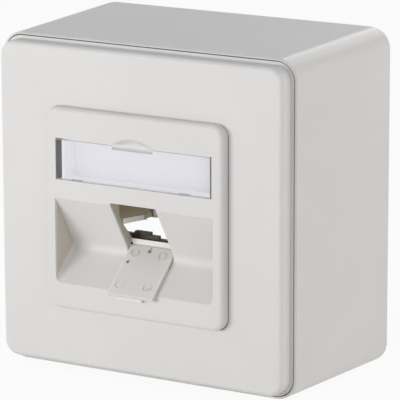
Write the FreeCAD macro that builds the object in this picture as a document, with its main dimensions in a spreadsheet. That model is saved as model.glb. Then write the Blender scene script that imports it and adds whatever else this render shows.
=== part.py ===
"""On-wall data outlet with one slanted port, a label field and a hinged dust flap.

Frame: millimetres, +Z up, +X to the right as seen from the front, the front towards -Y.
The origin is the centre of the face that stands on the wall, so a depth from the wall is a
distance along -Y. Every size is a cell of the sheet "Sizes"; places that follow from several
sizes are formulas in the sheet "Places".
"""
import FreeCAD
import Part
import Sketcher
import math
import os
import re

# Driving sizes: alias, value, what it measures
SIZES = [
    ("housing_width", 83.24, "surface housing across, at the wall"),
    ("housing_draft", 1.342, "lean of the housing's sides towards the front, degrees"),
    ("housing_corner", 5.2, "radius of the housing's upright corners"),
    ("housing_wall", 2.2, "wall of the housing"),
    ("rim_depth", 43.8, "wall to the housing's front rim"),
    ("rim_edge", 0.3, "chamfer round the front rim"),
    ("rim_lip", 0.5, "rim round the pocket of the cover frame"),
    ("frame_pocket_depth", 2.4, "rim to the housing's web"),
    ("web_thick", 2.4, "web behind the cover frame"),
    ("web_clear", 0.8, "opening of the web round the central plate's skirt"),
    ("web_opening_corner", 3.0, "corner radius of that opening"),
    ("post_width", 9.0, "square post round a wall fixing hole"),
    ("post_gap", 0.55, "post to the opening of the web"),
    ("wall_hole_radius", 2.1, "wall fixing hole"),
    ("boss_radius", 4.0, "boss behind the web for a carrier screw"),
    ("boss_length", 10.0, "length of that boss"),
    ("boss_floor", 1.2, "closed end of that boss"),
    ("breakout_width", 16.0, "thinned cable break-out in the upper and lower wall"),
    ("breakout_length", 18.0, "length of the break-out from the wall"),
    ("breakout_skin", 1.0, "skin left at the break-out"),
    ("frame_gap", 0.25, "gap between cover frame and rim"),
    ("frame_ledge", 0.75, "flat step round the cover frame at rim height"),
    ("frame_rise", 4.0, "face of the cover frame in front of the rim"),
    ("frame_corner", 3.8, "corner radius of the raised part"),
    ("frame_edge", 1.05, "rounding of the raised part's front edge"),
    ("frame_wall", 1.8, "wall of the cover frame"),
    ("frame_seat_depth", 2.0, "face of the cover frame to the seat of the central plate"),
    ("frame_seat_width", 1.5, "width of that seat"),
    ("frame_seat_thick", 2.2, "thickness of that seat"),
    ("plate_width", 49.3, "central plate across"),
    ("plate_gap", 0.2, "gap between central plate and cover frame"),
    ("plate_rise", 2.5, "face of the central plate in front of the cover frame"),
    ("plate_corner", 3.0, "corner radius of the central plate"),
    ("plate_edge", 1.1, "rounding of the central plate's front edge"),
    ("skirt_wall", 1.2, "skirt behind the central plate"),
    ("skirt_gap", 0.3, "skirt to the carrier plate"),
    ("label_margin", 3.0, "label field to the plate's sides"),
    ("label_drop", 7.39, "label field to the plate's upper side"),
    ("label_height", 10.1, "label field height"),
    ("label_depth", 2.7, "depth of the label field"),
    ("label_floor", 1.5, "floor behind the label field"),
    ("scoop_radius", 10.0, "thumb scoop above the label field"),
    ("scoop_rise", 1.75, "height of the scoop above the label field"),
    ("scoop_depth", 0.9, "depth of the scoop"),
    ("scoop_lean", 50.0, "lean of the scoop's wall, degrees"),
    ("recess_margin", 2.65, "slanted recess to the plate's sides"),
    ("recess_gap", 4.6, "label field to the recess"),
    ("recess_foot", 6.4, "recess to the plate's lower side"),
    ("incline_angle", 32.4, "upper face of the recess, from the upright, degrees"),
    ("slope_angle", 41.6, "lower face of the recess, below the level, degrees"),
    ("valley_radius", 2.4, "rounding where both faces meet"),
    ("recess_corner", 1.3, "rounding between the lower face and the recess's sides"),
    ("recess_wall", 1.8, "wall behind the recess"),
    ("port_width", 12.9, "port across"),
    ("port_rise", 0.45, "upper edge of the port above the recess"),
    ("hinge_inset", 1.65, "flap's hinge axis behind the upper face of the recess"),
    ("lug_top", 1.5, "upper end of a hinge lug, below the middle line"),
    ("lug_reach", 1.1, "corner of the lug behind the hinge axis"),
    ("lug_rise", 1.05, "that corner above the hinge axis"),
    ("lug_thick", 1.8, "thickness of a hinge lug"),
    ("pin_radius", 0.6, "hinge pin moulded on the flap"),
    ("pin_length", 1.2, "length of a hinge pin"),
    ("pin_clearance", 0.05, "hinge pin to its hole"),
    ("pin_end_gap", 0.2, "end of the hinge pin to the bottom of its hole"),
    ("knuckle_radius", 1.42, "round knuckle of the flap"),
    ("knuckle_clearance", 0.3, "room round the knuckle"),
    ("flap_thick", 0.9, "thickness of the flap"),
    ("flap_rest", 0.1, "open flap to the lower face of the recess"),
    ("flap_relief", 0.15, "relief under the flap where the faces meet"),
    ("flap_side_gap", 0.2, "flap to the side of the port"),
    ("flap_end_gap", 0.12, "end of the closed flap to the port"),
    ("grip_width", 7.0, "finger lip on the flap's end"),
    ("grip_shift", 0.7, "finger lip left of the flap's middle"),
    ("grip_rise", 1.2, "height of the finger lip"),
    ("mark_radius", 1.15, "ejector mark on the flap's inner face"),
    ("mark_depth", 0.1, "depth of an ejector mark"),
    ("mark_left", 4.1, "left ejector marks, from the flap's middle"),
    ("mark_right", 3.6, "right ejector marks, from the flap's middle"),
    ("mark_near", 2.35, "near ejector marks, from the hinge axis"),
    ("mark_far", 11.7, "far ejector marks, from the hinge axis"),
    ("dimple_radius", 0.45, "gate dimple on the flap's inner face"),
    ("dimple_depth", 0.4, "depth of the dimple"),
    ("dimple_left", 4.75, "dimple left of the flap's middle"),
    ("dimple_reach", 5.15, "dimple from the hinge axis"),
    ("slit_width", 0.5, "slit in the flap's inner face, beside the knuckle"),
    ("slit_start", 0.3, "near end of the slit, from the hinge axis"),
    ("slit_end", 1.7, "far end of the slit, from the hinge axis"),
    ("slit_shift", 0.3, "slit left of the flap's middle"),
    ("cheek_gap", 0.2, "module cheek outside the side of the port"),
    ("cheek_thick", 1.4, "module cheek"),
    ("cheek_top", 6.0, "upper edge of the cheek"),
    ("cheek_low", 3.2, "lower edge of the cheek at its front, below the middle line"),
    ("cheek_fall", 1.07, "fall of that edge to the back"),
    ("cheek_reach", 22.6, "central plate's face to the cheek's end"),
    ("rail_height", 1.25, "rail along the lower edge of the cheek"),
    ("rail_step", 0.5, "rail inside the cheek's face"),
    ("rail_clear", 0.25, "closed flap to the rail"),
    ("rail_reach", 16.2, "central plate's face to the rail's end"),
    ("nose_radius", 1.7, "rounded hook at the cheek's end"),
    ("holder_side", 4.15, "opening of the module frame past the port, each side"),
    ("holder_jamb", 2.1, "upright of the module frame"),
    ("holder_gap", 0.6, "module frame behind the recess and the carrier's collar"),
    ("holder_top", 9.2, "upper edge of the module frame"),
    ("holder_bar", 2.4, "upper bar of the module frame"),
    ("holder_low", 10.6, "lower edge of the module frame, below the middle line"),
    ("holder_thick", 1.3, "thickness of the module frame"),
    ("holder_sill", 6.09, "top of the stepped lower bar, below the middle line"),
    ("holder_step", 0.67, "one step of that bar"),
    ("holder_step_left", -6.7, "left end of the tallest stretch"),
    ("holder_step_middle", -2.35, "right end of the tallest stretch"),
    ("holder_step_right", -0.05, "right end of the next stretch"),
    ("holder_clip_gap", 0.15, "snap hook to the module frame"),
    ("hook_thick", 1.3, "snap hook that holds the module frame"),
    ("hook_nose", 0.7, "nose of the snap hook"),
    ("hook_low", 1.0, "lower edge of the snap hook"),
    ("hook_top", 5.0, "upper edge of the snap hook"),
    ("rib_thick", 1.5, "rib that seats the module frame"),
    ("moulded_join", 0.5, "how deep ribs, hooks and cheeks run into the wall they stand on"),
    ("carrier_margin", 0.6, "carrier plate to the cover frame's wall"),
    ("carrier_thick", 1.2, "carrier plate"),
    ("carrier_web", 5.6, "cut corner of the carrier plate past its opening, across and up together"),
    ("carrier_clear", 0.5, "carrier plate round the recess"),
    ("slot_length", 7.0, "slot for a carrier screw"),
    ("slot_radius", 1.8, "half width of that slot"),
    ("collar_radius", 2.7, "drawn collar for the plate screw"),
    ("collar_length", 1.5, "length of that collar"),
    ("screw_radius", 1.5, "shank of the screws"),
    ("screw_fit", 0.05, "shank to its hole"),
    ("screw_free", 0.15, "shank to a hole it only passes through"),
    ("carrier_head_radius", 2.7, "head of a carrier screw"),
    ("carrier_head_height", 2.0, "height of that head"),
    ("carrier_screw_length", 9.0, "shank of a carrier screw"),
    ("plate_head_radius", 2.75, "head of the plate screw"),
    ("plate_head_height", 1.9, "height of that head"),
    ("plate_head_sink", 2.1, "head's seat under the label field's floor"),
    ("plate_head_gap", 0.2, "head to its counterbore"),
    ("plate_screw_length", 6.5, "shank of the plate screw"),
    ("plate_boss_radius", 4.2, "boss round the plate screw"),
    ("cross_share", 0.62, "arm of the screws' cross slot, as a share of the head's radius"),
    ("cross_width", 0.7, "width of the cross slot"),
    ("cross_depth", 0.9, "depth of the cross slot"),
    ("window_gap", 0.15, "label window to the label field's sides"),
    ("window_sink", 0.1, "label window behind the plate's face"),
    ("window_thick", 1.2, "label window"),
    ("window_foot", 0.3, "foot at each end of the label window"),
    ("window_lip", 1.0, "finger lip on the window's upper edge"),
    ("window_lip_rise", 0.3, "height of that lip"),
    ("window_lip_inset", 0.1, "lip inside the ends of the scoop"),
    ("snap_width", 2.6, "snap nib on the window's lower edge"),
    ("snap_reach", 0.4, "reach of that nib past the window"),
    ("snap_spacing", 28.0, "snap nibs, centre to centre"),
    ("snap_shift", 2.0, "snap nibs left of the middle"),
    ("snap_thick", 0.6, "thickness of a snap nib"),
    ("card_gap", 0.3, "label card to the label field's sides"),
    ("card_thick", 0.25, "label card"),
]

# Places that follow from the sizes: alias, formula, what it is
PLACES = [
    ("rim_half", "housing_width / 2 - rim_depth * tan(housing_draft)", "half the housing across, at its rim"),
    ("frame_pocket_width", "2 * rim_half - 2 * rim_lip", "pocket in the rim that takes the cover frame"),
    ("frame_pocket_corner", "housing_corner - rim_lip", "corner radius of that pocket"),
    ("web_front", "rim_depth - frame_pocket_depth", "depth of the web's front face"),
    ("web_back", "web_front - web_thick", "depth of the web's back face"),
    ("frame_face", "rim_depth + frame_rise", "depth of the cover frame's face"),
    ("frame_seat", "frame_face - frame_seat_depth", "depth of the central plate's seat"),
    ("plate_face", "frame_face + plate_rise", "depth of the central plate's face"),
    ("seat_opening", "plate_width + 2 * plate_gap - 2 * frame_seat_width", "opening in the seat"),
    ("skirt_width", "seat_opening - 2 * plate_gap", "skirt behind the central plate, across"),
    ("web_opening", "skirt_width + 2 * web_clear", "square opening in the web"),
    ("post_spacing", "web_opening + post_width + 2 * post_gap", "wall fixing holes, centre to centre"),
    ("carrier_front", "web_front + carrier_thick", "depth of the carrier plate's front"),
    ("skirt_back", "carrier_front + skirt_gap", "depth of the skirt's end"),
    ("flange_width", "frame_pocket_width - 2 * frame_gap", "cover frame in its pocket, across"),
    ("channel_inner", "plate_width / 2 + plate_gap + frame_wall", "seat's wall under the cover frame"),
    ("channel_outer", "flange_width / 2 - frame_ledge - frame_wall", "outer wall under the cover frame"),
    ("boss_spacing", "channel_inner + channel_outer", "carrier screws, centre to centre"),
    ("carrier_width", "2 * (channel_outer - carrier_margin)", "carrier plate across"),
    ("carrier_wide", "skirt_width / 2 + carrier_clear", "half the carrier's opening across"),
    ("carrier_foot", "recess_low + recess_wall + carrier_clear", "that opening below the middle line"),
    ("carrier_cut", "carrier_width - carrier_wide - carrier_foot - carrier_web",
     "cut corner of the carrier plate"),
    ("label_width", "plate_width - 2 * label_margin", "label field across"),
    ("label_top", "plate_width / 2 - label_drop", "upper edge of the label field"),
    ("label_low", "label_top - label_height", "lower edge of the label field"),
    ("label_middle", "label_top - label_height / 2", "middle of the label field"),
    ("label_bed", "plate_face - label_depth", "depth of the label field's floor"),
    ("recess_width", "plate_width - 2 * recess_margin", "slanted recess across"),
    ("recess_top", "label_low - recess_gap", "upper edge of the recess"),
    ("recess_low", "plate_width / 2 - recess_foot", "lower edge of the recess, below the middle line"),
    ("port_top", "recess_top + port_rise", "upper edge of the port"),
    ("incline_tan", "tan(incline_angle)", "run of the upper face for each unit of height"),
    ("slope_tan", "tan(slope_angle)", "fall of the lower face for each unit of run"),
    ("valley_height", "(recess_top * incline_tan - recess_low / slope_tan) / (incline_tan + 1 / slope_tan)",
     "height where both faces of the recess would meet"),
    ("valley_back", "(recess_top - valley_height) * incline_tan", "how far behind the face they would meet"),
    ("wall_top", "recess_top + recess_wall / sin(incline_angle)",
     "back of the upper face, where it would reach the plate's face"),
    ("wall_low", "recess_low + recess_wall / cos(slope_angle)",
     "back of the lower face, where it would reach the plate's face, below the middle line"),
    ("tip_height", "(wall_top * incline_tan - wall_low / slope_tan) / (incline_tan + 1 / slope_tan)",
     "height where the backs of both faces meet"),
    ("tip_back", "(wall_top - tip_height) * incline_tan", "how far behind the plate's face they meet"),
    ("holder_seat", "max(tip_back; plate_face - web_front + collar_length) + holder_gap",
     "central plate's face to the module frame"),
    ("holder_opening", "port_width + 2 * holder_side", "opening of the module frame across"),
    ("holder_width", "holder_opening + 2 * holder_jamb", "module frame across"),
    ("hinge_reach", "flap_thick + flap_rest", "hinge axis over the lower face"),
    ("hinge_turn", "cos(incline_angle - slope_angle)", "factor of the two faces' directions"),
    ("hinge_back", "((hinge_inset + recess_top * sin(incline_angle)) * cos(slope_angle)"
     " - sin(incline_angle) * (hinge_reach - recess_low * cos(slope_angle))) / hinge_turn",
     "hinge axis behind the central plate's face"),
    ("hinge_height", "(cos(incline_angle) * (hinge_reach - recess_low * cos(slope_angle))"
     " + sin(slope_angle) * (hinge_inset + recess_top * sin(incline_angle))) / hinge_turn",
     "height of the hinge axis"),
    ("flap_length", "hinge_back * sin(incline_angle) + (port_top - hinge_height) * cos(incline_angle)"
     " - flap_end_gap", "hinge axis to the flap's free end"),
    ("flap_width", "port_width - 2 * flap_side_gap", "flap across"),
    ("cheek_face", "port_width / 2 + cheek_gap", "inner face of a cheek from the middle"),
    ("hook_face", "holder_opening / 2 - holder_clip_gap", "outer face of a snap hook from the middle"),
    ("scoop_middle", "label_top + scoop_rise - scoop_radius", "height of the scoop's centre"),
    ("scoop_half", "sqrt(scoop_radius ^ 2 - (scoop_radius - scoop_rise) ^ 2)", "half the scoop's chord"),
]

doc = FreeCAD.newDocument("data_outlet")
ALIASES = [alias for alias, _, _ in SIZES]
PLACE_NAMES = [alias for alias, _, _ in PLACES]


def spelled(formula):
    """Formula with every alias written as a cell of its sheet."""
    def cell(match):
        word = match.group(0)
        if word in ALIASES:
            return "Sizes." + word
        if word in PLACE_NAMES:
            return "Places." + word
        return word
    return re.sub(r"[a-z_]+", cell, str(formula))


def make_sheets():
    """Sheet of driving sizes and sheet of the places worked out from them."""
    sizes = doc.addObject("Spreadsheet::Sheet", "Sizes")
    for row, (alias, value, note) in enumerate(SIZES, 1):
        sizes.set(f"A{row}", note)
        sizes.set(f"B{row}", str(value))
        sizes.setAlias(f"B{row}", alias)
    doc.recompute()
    places = doc.addObject("Spreadsheet::Sheet", "Places")
    for row, (alias, _, note) in enumerate(PLACES, 1):
        places.set(f"A{row}", note)
        places.setAlias(f"B{row}", alias)
    for row, (_, formula, _) in enumerate(PLACES, 1):
        places.set(f"B{row}", "=" + spelled(formula))
    doc.recompute()
    return sizes


sheet = make_sheets()


def value(formula):
    """Number that a formula of aliases gives."""
    return float(sheet.evalExpression(spelled(formula)))


def bind(target, prop, formula):
    """Ties a property of an object to a formula of aliases."""
    target.setExpression(prop, spelled(formula))


def new_body(label):
    """Empty body for one sub-part."""
    body = doc.addObject("PartDesign::Body", label)
    body.Label = label
    return body


def sketch_on(body, name, plane, offset="0"):
    """Sketch on one of the body's planes; for XZ_Plane the offset is a depth from the wall."""
    sketch = body.newObject("Sketcher::SketchObject", name)
    support = [item for item in body.Origin.OriginFeatures if item.Role == plane][0]
    sketch.AttachmentSupport = [(support, "")]
    sketch.MapMode = "FlatFace"
    bind(sketch, "AttachmentOffset.Base.z", offset)
    return sketch


def fix_point(sketch, index, position, across, up):
    """Holds one point of a sketch at two formulas measured from the sketch's origin."""
    for kind, formula in (("DistanceX", across), ("DistanceY", up)):
        rule = Sketcher.Constraint(kind, -1, 1, index, position, value(formula))
        bind(sketch, f"Constraints[{sketch.addConstraint(rule)}]", formula)


def outline(sketch, corners):
    """Closed outline of straight lines through corners that are given as formulas."""
    first = sketch.GeometryCount
    points = [FreeCAD.Vector(value(across), value(up), 0) for across, up in corners]
    count = len(points)
    for step in range(count):
        sketch.addGeometry(Part.LineSegment(points[step], points[(step + 1) % count]), False)
    for step in range(count):
        follower = first + (step + 1) % count
        sketch.addConstraint(Sketcher.Constraint("Coincident", first + step, 2, follower, 1))
    for step, (across, up) in enumerate(corners):
        fix_point(sketch, first + step, 1, across, up)


def rectangle(sketch, left, right, low, top):
    """Upright rectangle between four formulas."""
    outline(sketch, [(left, low), (right, low), (right, top), (left, top)])


def square(sketch, width):
    """Square round the sketch's origin."""
    half = f"({width}) / 2"
    rectangle(sketch, f"-{half}", half, f"-{half}", half)


def rounded_square(sketch, width, corner):
    """Square round the sketch's origin with round corners: sides and arcs in turn, anticlockwise."""
    first = sketch.GeometryCount
    half = f"(({width}) / 2)"
    start = f"(({width}) / 2 - ({corner}))"
    sides = [((f"-{start}", f"-{half}"), (start, f"-{half}")), ((half, f"-{start}"), (half, start)),
             ((start, half), (f"-{start}", half)), ((f"-{half}", start), (f"-{half}", f"-{start}"))]
    centres = [(start, f"-{start}"), (start, start), (f"-{start}", start), (f"-{start}", f"-{start}")]
    upward = FreeCAD.Vector(0, 0, 1)
    for turn, (ends, centre) in enumerate(zip(sides, centres)):
        points = [FreeCAD.Vector(value(across), value(up), 0) for across, up in ends + (centre,)]
        sketch.addGeometry(Part.LineSegment(points[0], points[1]), False)
        circle = Part.Circle(points[2], upward, value(corner))
        begin = math.radians(90 * (turn - 1))
        sketch.addGeometry(Part.ArcOfCircle(circle, begin, begin + math.pi / 2), False)
    for turn, (tail, tip) in enumerate(sides):
        line = first + 2 * turn
        arc = line + 1
        follower = first + 2 * ((turn + 1) % 4)
        fix_point(sketch, line, 1, *tail)
        fix_point(sketch, line, 2, *tip)
        sketch.addConstraint(Sketcher.Constraint("Coincident", line, 2, arc, 1))
        sketch.addConstraint(Sketcher.Constraint("Coincident", arc, 2, follower, 1))
        rule = Sketcher.Constraint("Radius", arc, value(corner))
        bind(sketch, f"Constraints[{sketch.addConstraint(rule)}]", corner)


def disc(sketch, across, up, radius):
    """Circle at two formulas."""
    centre = FreeCAD.Vector(value(across), value(up), 0)
    index = sketch.addGeometry(Part.Circle(centre, FreeCAD.Vector(0, 0, 1), value(radius)), False)
    fix_point(sketch, index, 3, across, up)
    rule = Sketcher.Constraint("Radius", index, value(radius))
    bind(sketch, f"Constraints[{sketch.addConstraint(rule)}]", radius)


def segment(sketch, middle, radius, chord):
    """Upper part of a circle on the sketch's upright axis, closed by a level chord."""
    half = f"sqrt(({radius}) ^ 2 - (({chord}) - ({middle})) ^ 2)"
    centre = FreeCAD.Vector(0, value(middle), 0)
    right = FreeCAD.Vector(value(half), value(chord), 0)
    left = FreeCAD.Vector(-value(half), value(chord), 0)
    tilt = math.atan2(right.y - centre.y, right.x)
    circle = Part.Circle(centre, FreeCAD.Vector(0, 0, 1), value(radius))
    arc = sketch.addGeometry(Part.ArcOfCircle(circle, tilt, math.pi - tilt), False)
    line = sketch.addGeometry(Part.LineSegment(left, right), False)
    fix_point(sketch, line, 1, f"-{half}", chord)
    fix_point(sketch, line, 2, half, chord)
    sketch.addConstraint(Sketcher.Constraint("Coincident", arc, 2, line, 1))
    sketch.addConstraint(Sketcher.Constraint("Coincident", line, 2, arc, 1))
    rule = Sketcher.Constraint("Radius", arc, value(radius))
    bind(sketch, f"Constraints[{sketch.addConstraint(rule)}]", radius)


def corner_profile(sketch, side):
    """Hollow corner between the recess's side and its lower face, sunk a little into both."""
    half = f"{side}(recess_width / 2)"
    inner = f"{side}(recess_width / 2 - recess_corner)"
    outer = f"{side}(recess_width / 2 + moulded_join)"
    low = "-moulded_join"
    corners = [(inner, "0"), (inner, low), (outer, low), (outer, "recess_corner"), (half, "recess_corner")]
    first = sketch.GeometryCount
    points = [FreeCAD.Vector(value(across), value(up), 0) for across, up in corners]
    for tail, tip in zip(points, points[1:]):
        sketch.addGeometry(Part.LineSegment(tail, tip), False)
    centre = FreeCAD.Vector(value(inner), value("recess_corner"), 0)
    circle = Part.Circle(centre, FreeCAD.Vector(0, 0, 1), value("recess_corner"))
    begin = math.pi if side else 1.5 * math.pi
    arc = sketch.addGeometry(Part.ArcOfCircle(circle, begin, begin + math.pi / 2), False)
    for step in range(3):
        sketch.addConstraint(Sketcher.Constraint("Coincident", first + step, 2, first + step + 1, 1))
    start, end = (2, 1) if side else (1, 2)
    sketch.addConstraint(Sketcher.Constraint("Coincident", arc, start, first, 1))
    sketch.addConstraint(Sketcher.Constraint("Coincident", arc, end, first + 3, 2))
    for step, (across, up) in enumerate(corners[:4]):
        fix_point(sketch, first + step, 1, across, up)
    fix_point(sketch, first + 3, 2, *corners[4])
    rule = Sketcher.Constraint("Radius", arc, value("recess_corner"))
    bind(sketch, f"Constraints[{sketch.addConstraint(rule)}]", "recess_corner")


def extrude(kind, body, sketch, length, back=False, both=False, taper=None):
    """Pad or pocket of a sketch; back turns its direction round, both spreads it to two sides."""
    feature = body.newObject("PartDesign::" + kind, sketch.Name + kind)
    feature.Profile = sketch
    bind(feature, "Length", length)
    feature.Reversed = back
    if both:
        feature.SideType = "Symmetric"
    if taper is not None:
        bind(feature, "TaperAngle", taper)
    before = feature.BaseFeature.Shape.Volume if feature.BaseFeature else 0.0
    doc.recompute()
    changed = feature.Shape.Volume - before
    if (changed <= 0) == (kind == "Pad"):
        raise ValueError(f"{feature.Name} adds or cuts nothing")
    return feature


def pad(body, sketch, length, **options):
    return extrude("Pad", body, sketch, length, **options)


def pocket(body, sketch, length, **options):
    return extrude("Pocket", body, sketch, length, **options)


NEAR = 0.02  # how close an edge has to lie to the place it is picked by
PAST = 1.1  # how far a cut runs past the block it leans, as a factor


def picked(kind, items, wanted):
    """Names of the edges or faces that a test picks."""
    names = [f"{kind}{number}" for number, item in enumerate(items, 1) if wanted(item)]
    if not names:
        raise ValueError(f"no {kind} is picked")
    return names


def dress_edges(kind, measure, body, name, size, wanted):
    """Fillet or chamfer on the edges of the body's last feature that a test picks."""
    base = body.Tip
    names = picked("Edge", base.Shape.Edges, wanted)
    dressing = body.newObject("PartDesign::" + kind, name)
    dressing.Base = (base, names)
    bind(dressing, measure, size)
    doc.recompute()
    if "Invalid" in dressing.State:
        raise ValueError(f"{name} fails: {dressing.getStatusString()}")


def round_edges(body, name, radius, wanted):
    dress_edges("Fillet", "Radius", body, name, radius, wanted)


def bevel_edges(body, name, size, wanted):
    dress_edges("Chamfer", "Size", body, name, size, wanted)


def lean_sides(body, name, half, start, end, angle):
    """Cuts the four sides of a square block to a lean; they keep their half width at the start depth."""
    reach = f"(({end}) - ({start})) * {PAST}"
    shift = f"({reach}) * tan({angle})"
    upright = sketch_on(body, name + "Upright", "YZ_Plane")
    level = sketch_on(body, name + "Level", "XY_Plane")
    for side in ("-", ""):
        edge = f"{side}({half})"
        still = f"-({start})"
        front = f"-({start}) - {reach}"
        outer = f"{side}({half} + {shift})"
        inner = f"{side}({half} - {shift})"
        outline(upright, [(still, edge), (front, outer), (front, inner)])
        outline(level, [(edge, still), (outer, front), (inner, front)])
    pocket(body, upright, f"2 * {PAST} * ({half})", both=True)
    pocket(body, level, f"2 * {PAST} * ({half})", both=True)


def along(edge, axis, share=0.99):
    """True for a straight edge that runs along X, Y or Z, apart from a small lean."""
    if len(edge.Vertexes) != 2 or not isinstance(edge.Curve, Part.Line):
        return False
    run = edge.Vertexes[1].Point.sub(edge.Vertexes[0].Point)
    return abs(getattr(run, axis)) > share * run.Length


def flat_edges(depth, low, high):
    """Test for edges that lie at one depth, with their farthest reach between two half widths."""
    def wanted(edge):
        box = edge.BoundBox
        level = abs(box.YMin + value(depth)) < NEAR and abs(box.YMax + value(depth)) < NEAR
        reach = max(abs(box.XMin), abs(box.XMax), abs(box.ZMin), abs(box.ZMax))
        return level and value(low) - NEAR < reach < value(high) + NEAR
    return wanted


def surface_housing():
    """Hood with leaning sides, open at the back, with a web behind the rim and fixing posts."""
    body = new_body("surface_housing")
    foot = sketch_on(body, "HousingFoot", "XZ_Plane")
    square(foot, "housing_width")
    pad(body, foot, "rim_depth")
    lean_sides(body, "HousingSides", "housing_width / 2", "0", "rim_depth", "housing_draft")
    round_edges(body, "HousingCorners", "housing_corner", lambda edge: along(edge, "y"))
    inside = sketch_on(body, "HousingInside", "XZ_Plane")
    rounded_square(inside, "2 * rim_half - 2 * housing_wall", "housing_corner - housing_wall")
    pocket(body, inside, "web_back", back=True)
    bed = sketch_on(body, "FrameBed", "XZ_Plane", "rim_depth")
    rounded_square(bed, "frame_pocket_width", "frame_pocket_corner")
    pocket(body, bed, "frame_pocket_depth")
    opening = sketch_on(body, "WebOpening", "XZ_Plane", "web_front")
    rounded_square(opening, "web_opening", "web_opening_corner")
    pocket(body, opening, "web_thick")
    posts = sketch_on(body, "WallPosts", "XZ_Plane", "web_back")
    holes = sketch_on(body, "WallHoles", "XZ_Plane", "web_front")
    for side in ("-", ""):
        for level in ("-", ""):
            across = f"{side}post_spacing / 2"
            up = f"{level}post_spacing / 2"
            rectangle(posts, f"{across} - post_width / 2", f"{across} + post_width / 2",
                      f"{up} - post_width / 2", f"{up} + post_width / 2")
            disc(holes, across, up, "wall_hole_radius")
    pad(body, posts, "web_back", back=True)
    pocket(body, holes, "web_front")
    bosses = sketch_on(body, "CarrierBosses", "XZ_Plane", "web_back")
    threads = sketch_on(body, "CarrierBossHoles", "XZ_Plane", "web_front")
    for side in ("-", ""):
        disc(bosses, f"{side}boss_spacing / 2", "0", "boss_radius")
        disc(threads, f"{side}boss_spacing / 2", "0", "screw_radius + screw_fit")
    pad(body, bosses, "boss_length", back=True)
    pocket(body, threads, "web_thick + boss_length - boss_floor")
    breakouts = sketch_on(body, "CableBreakouts", "XZ_Plane")
    for level in ("-", ""):
        inner = f"{level}(rim_half - 2 * housing_wall)"
        outer = f"{level}(housing_width / 2 - breakout_skin - breakout_length * tan(housing_draft))"
        rectangle(breakouts, "-breakout_width / 2", "breakout_width / 2", inner, outer)
    pocket(body, breakouts, "breakout_length", back=True)
    lip_half = "(frame_pocket_width / 2 + rim_half) / 2"
    bevel_edges(body, "RimEdge", "rim_edge", flat_edges("rim_depth", lip_half, "rim_half"))
    return body


def cover_frame():
    """Square frame: a flange in the rim's pocket, a raised face and a seat for the central plate."""
    body = new_body("cover_frame")
    face = sketch_on(body, "FrameFace", "XZ_Plane", "rim_depth")
    rounded_square(face, "flange_width - 2 * frame_ledge", "frame_corner")
    pad(body, face, "frame_rise")
    round_edges(body, "FrameFrontEdge", "frame_edge",
                flat_edges("frame_face", "plate_width / 2", "flange_width / 2 - frame_ledge"))
    flange = sketch_on(body, "FrameFlange", "XZ_Plane", "web_front")
    rounded_square(flange, "flange_width", "frame_pocket_corner - frame_gap")
    pad(body, flange, "frame_pocket_depth")
    hollow = sketch_on(body, "FrameHollow", "XZ_Plane", "web_front")
    rounded_square(hollow, "flange_width - 2 * frame_ledge - 2 * frame_wall", "frame_corner - frame_wall")
    pocket(body, hollow, "frame_seat - frame_seat_thick - web_front", back=True)
    channel = sketch_on(body, "FrameChannel", "XZ_Plane", "frame_seat - frame_seat_thick")
    rounded_square(channel, "flange_width - 2 * frame_ledge - 2 * frame_wall", "frame_corner - frame_wall")
    square(channel, "plate_width + 2 * plate_gap + 2 * frame_wall")
    pocket(body, channel, "frame_seat_thick + frame_seat_depth - frame_wall", back=True)
    seat = sketch_on(body, "PlateSeat", "XZ_Plane", "frame_face")
    rounded_square(seat, "plate_width + 2 * plate_gap", "plate_corner + plate_gap")
    pocket(body, seat, "frame_seat_depth")
    through = sketch_on(body, "SeatOpening", "XZ_Plane", "frame_seat")
    square(through, "seat_opening")
    pocket(body, through, "frame_seat_thick")
    return body


def behind(reach):
    """Formula for the Y coordinate of a point that lies a reach behind the central plate's face."""
    return f"({reach}) - plate_face"


def plate_head(body):
    """Visible square of the central plate with its skirt."""
    head = sketch_on(body, "PlateHead", "XZ_Plane", "frame_seat")
    rounded_square(head, "plate_width", "plate_corner")
    pad(body, head, "plate_face - frame_seat")
    round_edges(body, "PlateFrontEdge", "plate_edge",
                flat_edges("plate_face", "plate_width / 2 - plate_corner", "plate_width / 2"))
    skirt = sketch_on(body, "PlateSkirt", "XZ_Plane", "skirt_back")
    square(skirt, "skirt_width")
    pad(body, skirt, "frame_seat - skirt_back")
    hollow = sketch_on(body, "PlateHollow", "XZ_Plane", "skirt_back")
    square(hollow, "skirt_width - 2 * skirt_wall")
    pocket(body, hollow, "label_bed - label_floor - skirt_back", back=True)


def recess_block(body):
    """Walls behind the recess: its section set back by the wall, as long as the skirt is wide."""
    block = sketch_on(body, "RecessBlock", "YZ_Plane")
    front = "label_depth + label_floor"
    upper = f"wall_top - ({front}) / incline_tan"
    lower = f"({front}) * slope_tan - wall_low"
    outline(block, [(behind(front), upper), (behind("tip_back"), "tip_height"), (behind(front), lower)])
    pad(body, block, "skirt_width", both=True)


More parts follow.
